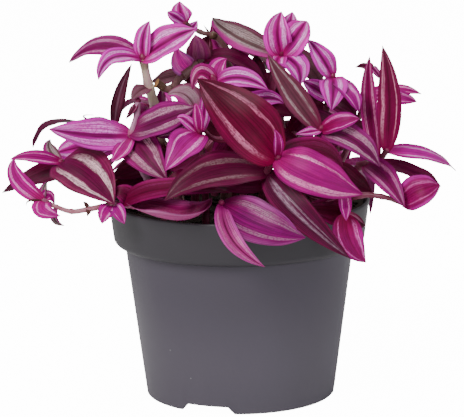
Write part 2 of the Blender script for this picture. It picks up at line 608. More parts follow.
def stemRadius(place, thick, last):
    # place counts the curve's points
    form = stemForm
    gone = max(0.0, (place - form["taperFrom"]) / (last - form["taperFrom"]))
    radius = thick * (1 - (1 - form["taper"]) * gone)
    near = min(abs(place - n) for n in range(form["firstPoint"], last + 1))
    return radius * (1 + form["swelling"] * math.exp(-((near / form["swellReach"]) ** 2)))


def addStem(shape, row, curve, last):
    form = stemForm
    steps = form["stepsEach"] * last
    places = [last * k / steps for k in range(steps + 1)]
    centres = [curve.at(p / last) for p in places]
    headings = [curve.along(p / last) for p in places]
    radii = [stemRadius(p, row["thick"], last) for p in places]
    cut = row["name"] in cutStems
    turn = steps - (form["cutSteps"] if cut else 1)  # where the bark ends
    below = slice(turn + 1)
    addTube(shape, centres[below], radii[below], headings[below], row["bark"], capEnd=False)
    if cut:
        flared = [r * form["cutFlare"] for r in radii[turn:]]
        rings = addTube(shape, centres[turn:], flared, headings[turn:], "dryBrown", capEnd=False)
        shape.addFace(tuple(rings[-1]), "cutWood")
        return
    end, ahead, thick, dome = centres[-1], headings[-1], radii[-1], form["dome"]
    addTube(shape, centres[turn:] + [end + ahead * (thick * reach) for reach, _ in dome],
            radii[turn:] + [thick * share for _, share in dome],
            headings[turn:] + [ahead] * len(dome), "bud")


def addShoot(row, draw):
    form = stemForm
    shape = Shape()
    rises = (-form["depth"], *form["start"])
    low = [Vector((*row["root"], form["soilTop"] + rise)) for rise in rises]
    curve = StemCurve(low + row["path"])
    last = len(curve.points) - 1
    addStem(shape, row, curve, last)
    for one in row["leaves"]:
        where = min(one["at"] + form["firstPoint"], last - form["endTuck"])
        base = curve.at(where / last)
        addLeaf(shape, base, one, draw)
        if one["width"] > form["sheathFrom"]:
            along = curve.along(where / last)
            radius = stemRadius(where, row["thick"], last)
            addTube(shape, [base + along * reach for reach in form["sheathAt"]],
                    [radius * flare for flare in form["sheathFlare"]], [along] * 3,
                    sheathOf.get(row["bark"], "sheath"), form["sheathSides"])
    for at, length, thick, finish in stemKnots.get(row["name"], ()):
        where = (at + form["firstPoint"]) / last
        middle, along = curve.at(where), curve.along(where)
        addTube(shape, [middle + along * (length * share) for share in form["knotAt"]],
                [thick * flare for flare in form["knotFlare"]], [along] * 4, finish)
    return shape


# One leaf: where it leaves the stem (0 is the path's first point), middle of its midrib, tip,
# width, the way its upper face looks, its kind, and how steeply it folds. Points are
# [across, up, depth] in mm.
def leaf(at, mid, tip, width, facing, tone, fold=leafForm["fold"]):
    return {"at": at, "mid": mid, "tip": tip, "width": width, "facing": Vector(facing),
            "tone": tone, "fold": fold}


# One shoot: its root in the soil, thickness, bark, the tone of its slot, its path and its leaves.
def shoot(name, root, thick, bark, tone, path, *leaves):
    return {"name": "shoot_" + name, "root": root, "thick": thick, "bark": bark, "tone": tone,
            "path": path, "leaves": list(leaves)}


shoots = [
    shoot("top_left", (-28, 4), 2.8, "barkPale", "orchid",
          [(-35, 112, -3), (-38, 130, -7), (-41.3, 142, -10), (-43.5, 154, -13)],
          leaf(3, (-62, 158.8, -10), (-77.5, 151.5, -6), 11, (-0.1, -0.7, 0.7), "mauve"),
          leaf(3, (-57.5, 153.3, -22), (-64, 143.5, -27), 10, (-0.2, -0.7, 0.7), "orchid"),
          leaf(3, (-43.2, 162.5, -15), (-40.2, 170.3, -12), 8.5, (-0.3, -0.9, 0.2), "orchid"),
          leaf(3, (-31.5, 161.2, -18), (-18.7, 166.3, -12), 16.5, (0.3, -0.6, 0.75), "orchid"),
          leaf(1.8, (-45.5, 137.8, -16), (-49, 134, -18), 7, (-0.2, -0.85, 0.5), "brown")),
    shoot("left", (-36, -8), 2, "barkLilac", "orchid",
          [(-45, 104, -14), (-49, 117.5, -19), (-46.5, 127, -17), (-46, 134, -16)],
          leaf(1, (-68, 118, -27), (-87, 121, -29), 16.5, (0, -0.8, 0.6), "fuchsia"),
          leaf(1, (-43, 109, -31), (-33, 97, -38), 18, (-0.3, -0.75, 0.6), "dusky"),
          leaf(1.2, (-33.5, 124.8, -33), (-19.5, 130.5, -36), 18, (0, -0.75, 0.65), "dusky"),
          leaf(1, (-54, 110, -31), (-58.5, 106, -34), 8, (-0.2, -0.8, 0.5), "magenta"),
          leaf(1, (-70, 113.2, -11), (-83.8, 110, -3), 21, (0, -0.8, 0.6), "orchid"),
          leaf(3, (-48.5, 129, -18), (-51.5, 125.5, -20), 3.5, (-0.5, -0.8, 0.2), "wine")),
    shoot("left_long", (-40, 8), 1.8, "barkBrown", "olive",
          [(-52, 97, 2), (-66, 100, -6), (-76, 104, -13), (-82, 106, -18)],
          leaf(3, (-69.9, 99.3, -34), (-57.4, 86, -45), 26.5, (0.1, -0.75, 0.65), "striped"),
          leaf(3, (-94, 108.3, -26), (-105, 107.3, -32), 6.5, (0, -0.85, 0.5), "magenta"),
          leaf(2, (-92, 99.2, -22), (-108.8, 92, -46), 11.5, (0, -0.7, 0.7), "plain"),
          leaf(3, (-86.8, 111.5, -14), (-86.4, 116.3, -12), 6.5, (0, -1, 0.2), "sage")),
    shoot("left_back", (-38, 22), 1.7, "barkWine", "wine",
          [(-50, 108, 18), (-57, 121, 13), (-65, 124, 10), (-72, 123.5, 7)],
          leaf(3, (-87, 122.8, 0), (-94.5, 112.6, -6), 9, (-0.3, -0.1, 0.95), "plain"),
          leaf(1, (-54.6, 136.5, 6), (-48.7, 150.5, 2), 6.5, (0.4, -0.9, 0.1), "slim"),
          leaf(1.6, (-66, 119.5, 22), (-74, 113, 30), 13, (-0.2, 0.4, 0.9), "wine")),
    shoot("left_trailing", (-34, -24), 1.5, "barkRose", "magenta",
          [(-47, 85.5, -34), (-58, 86, -40), (-69, 84, -43), (-77, 83, -43), (-84, 85.2, -42),
           (-90.5, 88.5, -41)],
          leaf(1, (-61.5, 82, -46), (-63, 77.3, -47), 7.5, (-0.2, -0.95, 0.2), "magenta"),
          leaf(1, (-55.3, 82, -46), (-52.8, 77, -49), 7, (0.2, -0.95, 0.2), "magenta"),
          leaf(5, (-101.6, 98.3, -45), (-103, 108, -45), 8.5, (-0.1, -0.95, 0.3), "magenta"),
          leaf(5, (-90, 83.8, -48), (-82.3, 81, -50), 9, (0, -0.9, 0.4), "magenta"),
          leaf(5, (-87.5, 90.5, -37), (-84.8, 86.5, -37), 6, (0.4, -0.6, 0.6), "magenta"),
          leaf(4, (-85, 79.5, -47), (-80.5, 76.5, -48), 3.5, (0, -0.8, 0.6), "sage"),
          leaf(5, (-90, 93, -36), (-88, 97, -34), 4, (-0.2, -0.9, 0.2), "sage"),
          leaf(0.7, (-33, 93.2, -49), (-4, 90.8, -55), 11, (0, -0.7, 0.7), "crimson"),
          leaf(0.35, (-26, 78.8, -57), (-12.5, 88.5, -52), 17, (0, -0.2, 0.98), "trough", 0.75),
          leaf(0.1, (-52.6, 91, -40), (-58.6, 91.5, -37.5), 9, (-0.1, -0.9, 0.4), "crimson")),
    shoot("centre_left", (-15, -24), 1.8, "barkWine", "magenta",
          [(-16, 104, -37), (-18, 120, -45)],
          leaf(1, (-25, 112.5, -54), (-33.7, 101.3, -58), 16, (-0.25, -0.85, 0.45), "magenta"),
          leaf(1, (-18.5, 127, -50), (-19.5, 132, -50), 5, (0, -1, 0.1), "magenta"),
          leaf(1, (-24, 124.5, -47), (-28, 125.5, -47), 5, (-0.2, -0.9, 0.3), "orchid"),
          leaf(1, (-15.5, 129, -44), (-16, 137, -41), 6, (0.2, -0.9, 0.3), "orchid"),
          leaf(-0.4, (-27, 95, -39), (-38, 92, -35), 13, (0, -0.8, 0.6), "plain")),
    shoot("centre_back", (-20, -8), 1.7, "barkWine", "mauve",
          [(-18, 112, -19), (-19.5, 131, -25)],
          leaf(1, (-29, 122, -24), (-38, 117, -23), 13, (0, -0.75, 0.65), "mauve"),
          leaf(1, (-24.8, 136.3, -24), (-32.4, 136, -22), 13, (0, -0.6, 0.8), "sagePink"),
          leaf(0, (-24, 106, -28), (-33.5, 101.5, -32), 14, (0, -0.7, 0.7), "crimson")),
    shoot("top_cut", (-6, 6), 2.6, "barkBrown", "wine",
          [(-2, 125, 5), (-3, 146, 4), (-9, 153, 2), (-17.5, 150.5, -1), (-25, 145.5, -4),
           (-31.5, 138.8, -7), (-37.3, 141.8, -9)],
          leaf(3, (-18, 157, -4), (-19.3, 163.8, -3), 11.5, (0, -1, 0.2), "fawn"),
          leaf(3, (-15, 158, 2), (-13.3, 163.2, 5), 8, (0, -1, 0.2), "wine"),
          leaf(3.6, (-25.8, 151.5, -7), (-28, 158, -7), 11, (-0.1, -0.95, 0.2), "blush"),
          leaf(4, (-33, 143.9, -2), (-39.5, 142.2, -1), 8.5, (0, -0.65, 0.75), "brown"),
          leaf(3, (-2, 153, -8), (14, 140, -12), 11, (0.1, -0.45, 0.9), "plain"),
          leaf(3.4, (-22, 145, 1), (-20, 140.5, 0), 8, (0, -0.9, 0.3), "plain"),
          leaf(0, (-11, 126, 12), (-20, 123, 15), 14, (0, 0.1, 1), "wine"),
          leaf(0.3, (-1, 134, 12), (0, 133, 19), 12, (0, 0.1, 1), "magenta")),
    shoot("top_bud", (14, 18), 1.6, "barkBrown", "orchid",
          [(12, 125, 16), (6, 146, 10), (-3.5, 155, 6), (-9.5, 162.5, 3), (-17, 165, 0),
           (-24.5, 169.5, -4)],
          leaf(5, (-26, 174, -6), (-26.3, 179.2, -4), 10, (0, -0.95, 0.3), "orchid"),
          leaf(5, (-29, 172.5, -8), (-32, 174.3, -8), 5.5, (-0.3, -0.9, 0.3), "orchid"),
          leaf(4.5, (-19.8, 168, -4), (-18.2, 170.3, -4), 4.5, (0.2, -0.9, 0.3), "orchid"),
          leaf(2.2, (-8.5, 163, 8), (-11.8, 169.8, 6), 6.5, (-0.5, -0.8, 0.3), "mauve"),
          leaf(0, (3, 126, 22), (-7, 124, 23), 14, (0, 0.1, 1), "mauve")),
    shoot("top_right", (22, 2), 1.9, "barkWine", "orchid",
          [(20, 120, 4), (19, 140, 2), (20.5, 155.5, -3)],
          leaf(2, (-0.9, 162.8, -2), (-11.3, 171.5, 1), 14.5, (-0.1, -0.6, 0.8), "sage"),
          leaf(2, (18.5, 164.5, -8), (20.5, 174, -4), 13, (-0.1, -0.85, 0.5), "orchid"),
          leaf(2, (27.5, 163.5, -9), (32, 169.5, -4), 14, (0.1, -0.85, 0.5), "orchid"),
          leaf(2, (27.5, 148.5, -14), (28.5, 140, -18), 12, (0.1, -0.85, 0.5), "orchid"),
          leaf(2, (32.5, 148.5, 2), (38, 139.5, 2), 13, (0.3, -0.75, 0.55), "brown"),
          leaf(2, (18.3, 149.5, -10), (22.3, 142.5, -12), 9.5, (-0.2, -0.85, 0.5), "orchid"),
          leaf(2, (23.5, 165.5, -5), (25.5, 173.8, -3), 11, (0, -0.85, 0.5), "orchid"),
          leaf(1.6, (9, 156.5, 7), (-3, 157.5, 9), 10, (-0.1, -0.7, 0.7), "brown")),
    shoot("right_top", (34, 6), 1.8, "barkWine", "magenta",
          [(38, 118, 2), (42, 134, -2), (44, 144.5, -6)],
          leaf(2, (38.7, 152.8, -8), (32.3, 161, -4), 10.5, (0.3, -0.9, 0.3), "orchid"),
          leaf(2, (44, 137.5, -16), (43, 128.3, -20), 13, (0, -0.9, 0.45), "orchid"),
          leaf(2, (51.8, 135.6, -17), (55.6, 127.3, -20), 9.5, (0.4, -0.8, 0.4), "magenta"),
          leaf(1, (35.5, 138.5, -10), (30, 142, -11), 9, (-0.2, -0.85, 0.5), "orchid"),
          leaf(1, (48.5, 131.5, -7), (54.5, 125.5, -9), 14, (0.2, -0.8, 0.6), "crimson"),
          leaf(0.7, (36, 130, 0), (33, 136, 2), 9, (-0.1, -0.9, 0.3), "plain")),
    shoot("centre_right", (26, -14), 1.8, "barkWine", "olive",
          [(32, 108, -22), (38.5, 120.5, -26)],
          leaf(1, (25, 136, -30), (14, 154, -24), 12, (0.1, -0.8, 0.55), "moss"),
          leaf(1, (47.7, 123, -32), (55.8, 124.3, -32), 9.5, (0, -0.8, 0.6), "ruby"),
          leaf(1, (53.5, 114, -34), (65, 102, -37), 14, (0.1, -0.75, 0.65), "dusky"),
          leaf(1, (33, 118.5, -32), (26.5, 117.5, -33), 5, (-0.1, -0.8, 0.6), "orchid")),
    shoot("right", (44, -6), 1.8, "barkWine", "wine",
          [(56, 102.5, -10), (64, 104, -13), (68.5, 110, -14)],
          leaf(2, (69.8, 134, -18), (66.8, 157.8, -12), 11, (-0.1, -0.95, 0.2), "garnet"),
          leaf(2, (87.5, 107, 0), (99.9, 100, 26), 8.6, (0, -0.75, 0.65), "hotPink"),
          leaf(1, (81, 99.2, -10), (93, 92.7, -12), 9, (0, -0.55, 0.83), "plain"),
          leaf(0.3, (67.5, 96.8, -28), (76.3, 83, -40), 12, (-0.1, -0.8, 0.55), "mauve"),
          leaf(1, (60.2, 132, -9), (60.9, 153, -7), 8.2, (0, -0.95, 0.2), "mauve")),
    shoot("right_back", (42, 18), 1.6, "barkWine", "magenta",
          [(52, 115, 16), (59, 136, 9), (61.5, 149, 4)],
          leaf(2, (58, 148.6, 3), (54.3, 148, 2), 3, (-0.2, -0.9, 0.3), "wine"),
          leaf(2, (63.5, 146, 3), (65.9, 142, 3), 4, (0.3, -0.8, 0.4), "mauve"),
          leaf(1, (73.5, 137.6, 4), (84.5, 135.3, 3), 5.5, (0, -0.8, 0.6), "magenta"),
          leaf(1, (73.5, 134, 2), (82.3, 131.8, 0), 7.5, (0, -0.9, 0.4), "magenta")),
    shoot("right_trailing", (42, -20), 1.6, "barkWine", "magenta",
          [(56, 89, -27), (66, 88.3, -30), (76, 85.2, -32)],
          leaf(2, (84, 91, -37), (92.7, 93.3, -33), 15.5, (0, -0.85, 0.5), "rosy")),
    shoot("front", (10, -30), 2, "barkWine", "wine",
          [(13, 100, -46), (18.5, 107.5, -54)],
          leaf(1, (1.5, 125, -56), (-18.5, 143.5, -38), 26, (-0.05, -0.85, 0.5), "wine"),
          leaf(1, (36.3, 97.7, -63), (57, 89.5, -57), 20, (-0.05, -0.85, 0.5), "frontMagenta"),
          leaf(1, (18.5, 114, -61), (16.8, 119.7, -61), 4.5, (0, -1, 0.1), "ruby"),
          leaf(0, (27.3, 81.8, -65), (51, 60, -64), 14, (-0.2, -0.85, 0.45), "lead"),
          leaf(0, (-13, 100, -59), (-34, 87.5, -64), 18, (0, -0.75, 0.65), "olive"),
          leaf(0.5, (35, 110, -44), (48, 102, -40), 13, (0.1, -0.8, 0.5), "crimson"),
          leaf(-0.3, (-1, 95.8, -49), (-14, 94.8, -46), 12, (0, -0.85, 0.5), "plain")),
    shoot("front_low", (-8, -38), 1.8, "barkWine", "mauve",
          [(-8, 86.5, -55)],
          leaf(0, (10, 75.8, -67.5), (30.5, 69.8, -69), 21, (0.1, -0.85, 0.5), "violet"),
          leaf(0, (-3.3, 69.3, -74.2), (11.5, 56.6, -75.6), 9, (0.2, -0.95, 0.2), "lilac")),
    shoot("front_right", (34, -32), 1.7, "barkWine", "magenta",
          [(42, 92, -44), (48.5, 90, -52), (49, 79, -53)],
          leaf(1, (49, 84, -58), (49.3, 77.5, -59), 6, (0, -1, 0), "magenta"),
          leaf(2, (50.7, 68.5, -55), (58.2, 58.2, -50), 13.5, (0.1, -0.95, 0.2), "ruby"),
          leaf(2, (41.5, 82, -50), (29, 84, -54), 13, (-0.1, -0.85, 0.5), "crimson"),
          leaf(2, (54, 77, -47), (58, 75, -43), 6, (0.3, -0.8, 0.4), "wine"),
          leaf(1, (40, 88.5, -47), (31, 89.5, -49), 8, (0, -0.8, 0.6), "wine")),
    shoot("middle", (2, -12), 1.7, "barkWine", "orchid",
          [(0, 118, -20), (-11.5, 144.5, -27)],
          leaf(1, (2, 143.5, -32), (14, 138, -34), 11, (0, -0.75, 0.65), "orchid"),
          leaf(1, (-17, 146, -27), (-20.8, 138.6, -29), 9, (-0.1, -0.8, 0.6), "mauve"),
          leaf(0.4, (12, 134, -26), (21, 131.5, -26), 9, (0.1, -0.75, 0.65), "orchid"),
          leaf(0.3, (-10, 119, -33), (-17, 129, -37), 14, (0, -0.8, 0.6), "wine"),
          leaf(0, (-6, 109, -29), (-13, 102, -30), 14, (0, -0.8, 0.6), "crimson"),
          leaf(1, (-9, 148.5, -24), (-5, 152.5, -22), 9, (0, -0.85, 0.5), "magenta")),
    shoot("inner_left", (-27, -16), 1.7, "barkWine", "wine",
          [(-29, 104, -12), (-31, 118, -6)],
          leaf(1, (-23, 127, -5), (-13, 126, -6), 16, (0, -0.7, 0.7), "plain"),
          leaf(1, (-39, 125, -14), (-48, 121, -8), 12, (0, -0.7, 0.7), "plain"),
          leaf(0.4, (-45, 104.5, -7), (-59, 98, -8), 13, (0, -1, 0.1), "plain"),
          leaf(0.1, (-44, 98.3, -3.6), (-60, 93.8, -10), 13, (0, -0.9, 0.4), "plain")),
    shoot("inner_middle", (14, -14), 1.7, "barkWine", "wine",
          [(10, 108, -12), (6, 124, -6)],
          leaf(1, (16.8, 130.5, -6), (28.5, 124.5, -9), 18, (0, -0.7, 0.7), "plain"),
          leaf(1, (-4, 133, -8), (-14, 128, -10), 15, (0, -0.7, 0.7), "plain"),
          leaf(1, (8, 141, -2), (8.8, 154.5, 0), 14, (0, -0.9, 0.4), "plain"),
          leaf(0.4, (20, 114, -14), (31, 112, -8), 15, (0, -0.7, 0.7), "plain"),
          leaf(0.4, (-2, 112, -8), (-12, 106, -10), 16, (0, -0.7, 0.7), "plain"),
          leaf(1, (13.5, 139.5, -8), (15.5, 146.5, -6), 9, (0, -0.9, 0.4), "plain"),
          leaf(0.6, (10.5, 122, 4), (12, 121, 13), 12, (0, 0, 1), "wine")),
    shoot("inner_right", (36, -10), 1.7, "barkWine", "wine",
          [(42, 100, -10), (46, 112, -6)],
          leaf(1, (37, 122.5, -13), (24.5, 126.8, -14), 14, (0, -0.7, 0.7), "plain"),
          leaf(1, (54, 119, 0), (62, 117, 4), 12, (0, -0.7, 0.7), "plain"),
          leaf(0.4, (37, 95, -22), (28, 89, -30), 14, (0, -0.7, 0.7), "plain"),
          leaf(0.3, (52.5, 95.5, -16), (61.5, 90.5, -20), 11, (0, -0.8, 0.6), "plain")),
]

# withered scales and whiskers on the stems
dryScales = {
    "shoot_left_trailing": [
        leaf(2, (-69.2, 83, -44.5), (-69.8, 80.7, -44.5), 2.4, (0, -1, 0), "dry"),
        leaf(2, (-70.3, 86.2, -44), (-71.6, 87.4, -44), 2, (0, -1, 0.2), "dry"),
        leaf(5, (-96.2, 88.2, -44.5), (-97.8, 86, -45), 0.9, (0, -1, 0.2), "dry"),
    ],
    "shoot_top_bud": [leaf(3.4, (-13.6, 165.6, 1), (-15.3, 168, 1), 1, (0, -1, 0), "dry")],
    "shoot_left": [leaf(1, (-69.5, 125.4, -22), (-66.5, 127.3, -22), 0.9, (0, -1, 0), "dry")],
}


def layOut(row):
    leaves = [{**one, "mid": spotOf(one["mid"]), "tip": spotOf(one["tip"])}
              for one in row["leaves"] + dryScales.get(row["name"], [])]
    return {**row, "path": [spotOf(p) for p in row["path"]], "leaves": leaves}


# shoots at the back: points are [outward from the root, sideways, up from the soil]
backForms = {
    "low": {
        "tone": "mauve", "bark": "barkWine", "thick": 1.8,
        "path": [(3, 0, 10), (12, 2, 17), (22, -1, 18), (30, 1, 14)],
        "leaves": [
            leaf(0.6, (14, 13, 25), (25, 23, 15), 16, (0.2, 0.2, 0.95), "mauve"),
            leaf(1.3, (24, -11, 27), (36, -19, 14), 16, (0.2, -0.2, 0.95), "wine"),
            leaf(2.2, (34, 9, 22), (41, 16, 3), 14, (0.5, 0.2, 0.8), "magenta"),
            leaf(3, (39, -6, 11), (38, -11, -12), 14, (0.8, -0.1, 0.5), "orchid"),
            leaf(3, (36, 3, 23), (44, 5, 26), 8, (-0.1, 0, 0.95), "magenta"),
        ],
    },
    "high": {
        "tone": "wine", "bark": "barkWine", "thick": 1.9,
        "path": [(2, 0, 18), (7, -2, 34), (14, 1, 45), (19, 0, 51)],
        "leaves": [
            leaf(0.8, (14, 11, 42), (27, 19, 33), 16, (0.3, 0.2, 0.9), "wine"),
            leaf(1.3, (13, -15, 50), (23, -27, 41), 17, (0.3, -0.2, 0.9), "mauve"),
            leaf(2, (27, 10, 57), (38, 18, 43), 16, (0.5, 0.2, 0.85), "magenta"),
            leaf(3, (33, -4, 54), (44, -9, 37), 16, (0.6, 0, 0.8), "orchid"),
            leaf(3, (17, 5, 59), (12, 8, 67), 8, (0.9, 0.1, 0.3), "orchid"),
        ],
    },
}
backShoots = [  # form, lean in degrees from the right, root in mm from the middle, reach, rise
    ("low", 43, 42, 0.88, 0.85),
    ("low", 70, 41, 0.78, 0.95),
    ("low", 106, 41, 0.88, 0.84),
    ("low", 135, 40, 0.88, 0.88),
    ("high", 49, 29, 1, 0.84),
    ("high", 96, 28, 0.8, 1.22),
    ("high", 139, 27, 0.95, 0.84),
]


def layOutBack(kind, lean, root, reach, rise, index):
    form = backForms[kind]
    turn = math.radians(lean)
    stand = Vector((root * math.cos(turn), root * math.sin(turn), stemForm["soilTop"]))

    def aim(point):
        out, side, up = point
        return Vector((out * math.cos(turn) - side * math.sin(turn),
                       out * math.sin(turn) + side * math.cos(turn), up))

    def at(point):
        out, side, up = point
        return aim((out * reach, side, up * rise)) + stand

    leaves = [{**one, "mid": at(one["mid"]), "tip": at(one["tip"]), "facing": aim(one["facing"])}
              for one in form["leaves"]]
    return {**form, "name": f"shoot_back_{index}", "root": (stand.x, stand.y),
            "path": [at(p) for p in form["path"]], "leaves": leaves}


draw = random.Random(7)
standing = [layOut(row) for row in shoots]
standing += [layOutBack(*row, index) for index, row in enumerate(backShoots, 1)]
for row in standing:
    piece = addShoot(row, draw).make(row["name"] + "_leafy", sharp=50)
    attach(piece, "root")
    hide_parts(row["name"])
print("shoots made:", len(standing))


potForm = {
    "rimRadius": 60, "height": 91, "collarRadius": 57.8, "collarBottom": 70.4, "bodyRadius": 52.6,
    "footRadius": 43.5, "wall": 1.2, "footDepth": 3.5, "basePlate": 1.5, "sides": 180,
    "footRound": 0.3, "footInnerRound": 0.2, "middle": 0.01, "plateEdge": 20,
    "bodyRings": (3, 12, 24, 36, 48, 60, 70.4), "innerRings": (60, 40, 20, 5),
    # under the collar the wall swells out in a quarter round, from the body to the collar
    "swellIn": 0.3, "swellOut": 4.9, "swellRise": 3.5, "swellRound": 3.4, "swellSteps": 7,
    "collarRings": (0.3, 0.6, 0.85), "collarTop": 4.5, "rimIn": 0.15,
    # from the rim's edge
    "rimBead": ((0, -0.9), (-0.1, -0.35), (-0.4, 0), (-1.1, 0), (-1.4, -0.4)),
    "ledgeOut": 2, "ledgeRises": (3.6, 1.9, 1.4),  # inside, over the collar's bottom
    "notches": ((-6, 24), (114, 144), (234, 264)), "notchSlope": 4.2,  # degrees
    "drainHoles": 6, "drainRadius": 4, "drainCircle": 27, "drainSides": 32, "drainReach": (-2, 4),
}
potFinish = {
    "Collar": (0.035, 0.032, 0.039), "High": (0.062, 0.053, 0.073), "Low": (0.087, 0.077, 0.1),
    "Speck": (0.22, 0.21, 0.23), "Collar Bottom": 0.0702, "Speck Size": 0.0004,  # m
}
potBump = (0.12, 0.3)
potSpecks = ((-31.8, -34.75, 28.1), (-22.6, -39.6, 16.1), (-48.7, 11.2, 50), (23, 41.6, 31))  # mm


def makePotSkin(specks):
    # moulded plastic: a dark collar, the body lighter to the foot, and a few pale specks
    net, take, give = makeGroup("potSkin", {
        "Collar": None, "High": None, "Low": None, "Speck": None, "Collar Bottom": 0.07,
        "Speck Size": 0.0004,
    }, ("Color", "Height", "Satin"))
    place = net.make("TexCoord").outputs["Object"]
    x, y, up = net.split(place)
    body = net.blend(net.smooth(up, 0.015, 0.06), take["Low"], take["High"])
    seam = net.smooth(up, take["Collar Bottom"], net.add(take["Collar Bottom"], 0.0006))
    broad = net.noise(net.point(x, y, net.times(up, 0.4)), 30.0, 3.0)
    fine = net.noise(place, 900.0, 3.0, 0.65)
    both = net.plus(fine, 0.3, net.times(broad, 0.7))
    tint = {"Value": net.around(both, 0.3, 1.0), "Color": net.blend(seam, body, take["Collar"])}
    painted = net.make("HueSaturation", tint).outputs[0]
    for spot in specks:
        middle = [v * mm for v in spot]
        gap = net.make("VectorMath", {0: place, 1: middle}, operation="DISTANCE").outputs["Value"]
        near = net.smooth(gap, net.times(take["Speck Size"], 0.5), take["Speck Size"], 1.0, 0.0)
        painted = net.blend(near, painted, take["Speck"])
    net.feed(painted, give["Color"])
    net.feed(both, give["Height"])
    net.feed(net.smooth(net.smooth(both, 0.36, 0.64), 0.0, 1.0, 0.42, 0.52), give["Satin"])
    return net.tree


finishes["pot"] = makeMaterial("potPlastic", makePotSkin(potSpecks), potFinish, potBump,
                               {"Specular IOR Level": 0.35})


def potProfile(form):
    # radius and height of each ring: under the base, up the outside, over the rim, down the inside
    wall, height, rim = form["wall"], form["height"], form["rimRadius"]
    collar, neck, body = form["collarBottom"], form["collarRadius"], form["bodyRadius"]
    foot, low, outer = form["footRadius"], form["footDepth"], form["footRound"]
    inner, middle, edge = form["footInnerRound"], form["middle"], form["plateEdge"]
    slope = (body - foot) / collar
    profile = [(middle, low), (edge, low), (foot + slope * low - wall, low), (foot - wall, inner),
               (foot - wall + inner, 0), (foot - outer, 0), (foot, outer)]
    profile += [(foot + slope * z, z) for z in form["bodyRings"]]
    swell = collar + form["swellRise"]
    for k in range(form["swellSteps"] + 1):
        turn = math.radians(-90 + 90 * k / form["swellSteps"])
        profile.append((body + form["swellIn"] + form["swellOut"] * math.cos(turn),
                        swell + form["swellRound"] * math.sin(turn)))
    for share in form["collarRings"]:
        profile.append((neck + (rim - form["rimIn"] - neck) * share,
                        swell + (height - form["collarTop"] - collar) * share))
    profile += [(rim + out, height + up) for out, up in form["rimBead"]]
    ledge = zip((neck - wall, body + form["ledgeOut"], body - wall), form["ledgeRises"])
    profile += [(radius, collar + rise) for radius, rise in ledge]
    profile += [(foot + slope * z - wall, z) for z in form["innerRings"]]
    plate = low + form["basePlate"]
    return profile + [(edge, plate), (middle, plate)]


def makePot(form):
    shape = Shape()
    reach = form["footDepth"] - 0.1
    rings = []
    for radius, z in potProfile(form):
        ring = []
        for i in range(form["sides"]):
            turn = 360 * i / form["sides"]
            inside = max(min(t - low, high - t)
                         for low, high in form["notches"] for t in (turn, turn - 360))
            cut = min(max(inside / form["notchSlope"] + 0.5, 0.0), 1.0) * reach
            up = max(z, cut) if z < reach else z
            a = math.radians(turn)
            ring.append(shape.addPoint(Vector((radius * math.cos(a), radius * math.sin(a), up))))
        rings.append(ring)
    shape.addRings([ring[::-1] for ring in rings][::-1], "pot")
    shape.capEnds(rings, "pot")
    return shape.make("potBody", sharp=35)


def cutDrains(pot, form):
    cutters = Shape()
    for k in range(form["drainHoles"]):
        turn = 2 * math.pi * k / form["drainHoles"]
        x, y = form["drainCircle"] * math.cos(turn), form["drainCircle"] * math.sin(turn)
        ends = [Vector((x, y, form["footDepth"] + rise)) for rise in form["drainReach"]]
        addTube(cutters, ends, [form["drainRadius"]] * 2, [Vector((0, 0, 1))] * 2, "pot",
                form["drainSides"])
    cutter = cutters.make("drainCutter")
    modifier = pot.modifiers.new("drains", "BOOLEAN")
    modifier.object = cutter
    modifier.operation = "DIFFERENCE"
    modifier.solver = "EXACT"
    result = pot.evaluated_get(bpy.context.evaluated_depsgraph_get())
    shaped = bpy.data.meshes.new_from_object(result)
    pot.modifiers.clear()
    pot.data = shaped
    bpy.data.objects.remove(cutter)


pot = makePot(potForm)
cutDrains(pot, potForm)
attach(pot, "root")
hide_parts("pot")
print("pot made")


soilForm = {
    "top": 84, "edge": 57.6, "rings": 34, "sides": 110,
    # radius and height of the rings below the top
    "lower": ((0.01, 5.4), (42.2, 5.4), (50.2, 72.2), (56.2, 75.2), (57.6, 81)),
    "rough": 1.3, "lumps": ((0.09, 1), (0.31, 0.7), (0.9, 0.4)),  # turns per mm, share
    "heapRise": 5.5, "heapFrom": 38, "heapWidth": 18, "heapTurn": 22, "heapSpread": 24,  # degrees
    "middle": 0.01, "crumbs": 900, "crumbSize": (0.5, 1.9), "crumbShare": (0.6, 1),
    "crumbInset": 1.5, "crumbRise": 0.3,
    "crumbSpans": ((0.7, 1.3), (0.7, 1.3), (0.5, 0.9)), "crumbJitter": (0.75, 1.2), "turn": 6.283,
}
soilFinish = {
    "Scale": 180.0, "Stretch": 1.0, "First": (0.015, 0.01, 0.008), "Second": (0.046, 0.032, 0.023),
    "Fleck": (0.09, 0.06, 0.04), "Fleck Share": 0.25,
}
soilBump = (0.8, 0.6)
soilShine = {"Roughness": 0.85, "Specular IOR Level": 0.25}
finishes["soil"] = makeMaterial("pottingSoil", mottle, soilFinish, soilBump, soilShine)

golden = (1 + 5**0.5) / 2
crumbCorners = [Vector(c).normalized() for c in (
    (-1, golden, 0), (1, golden, 0), (-1, -golden, 0), (1, -golden, 0),
    (0, -1, golden), (0, 1, golden), (0, -1, -golden), (0, 1, -golden),
    (golden, 0, -1), (golden, 0, 1), (-golden, 0, -1), (-golden, 0, 1))]
crumbSides = (
    (0, 11, 5), (0, 5, 1), (0, 1, 7), (0, 7, 10), (0, 10, 11),
    (1, 5, 9), (5, 11, 4), (11, 10, 2), (10, 7, 6), (7, 1, 8),
    (3, 9, 4), (3, 4, 2), (3, 2, 6), (3, 6, 8), (3, 8, 9),
    (4, 9, 5), (2, 4, 11), (6, 2, 10), (8, 6, 7), (9, 8, 1))


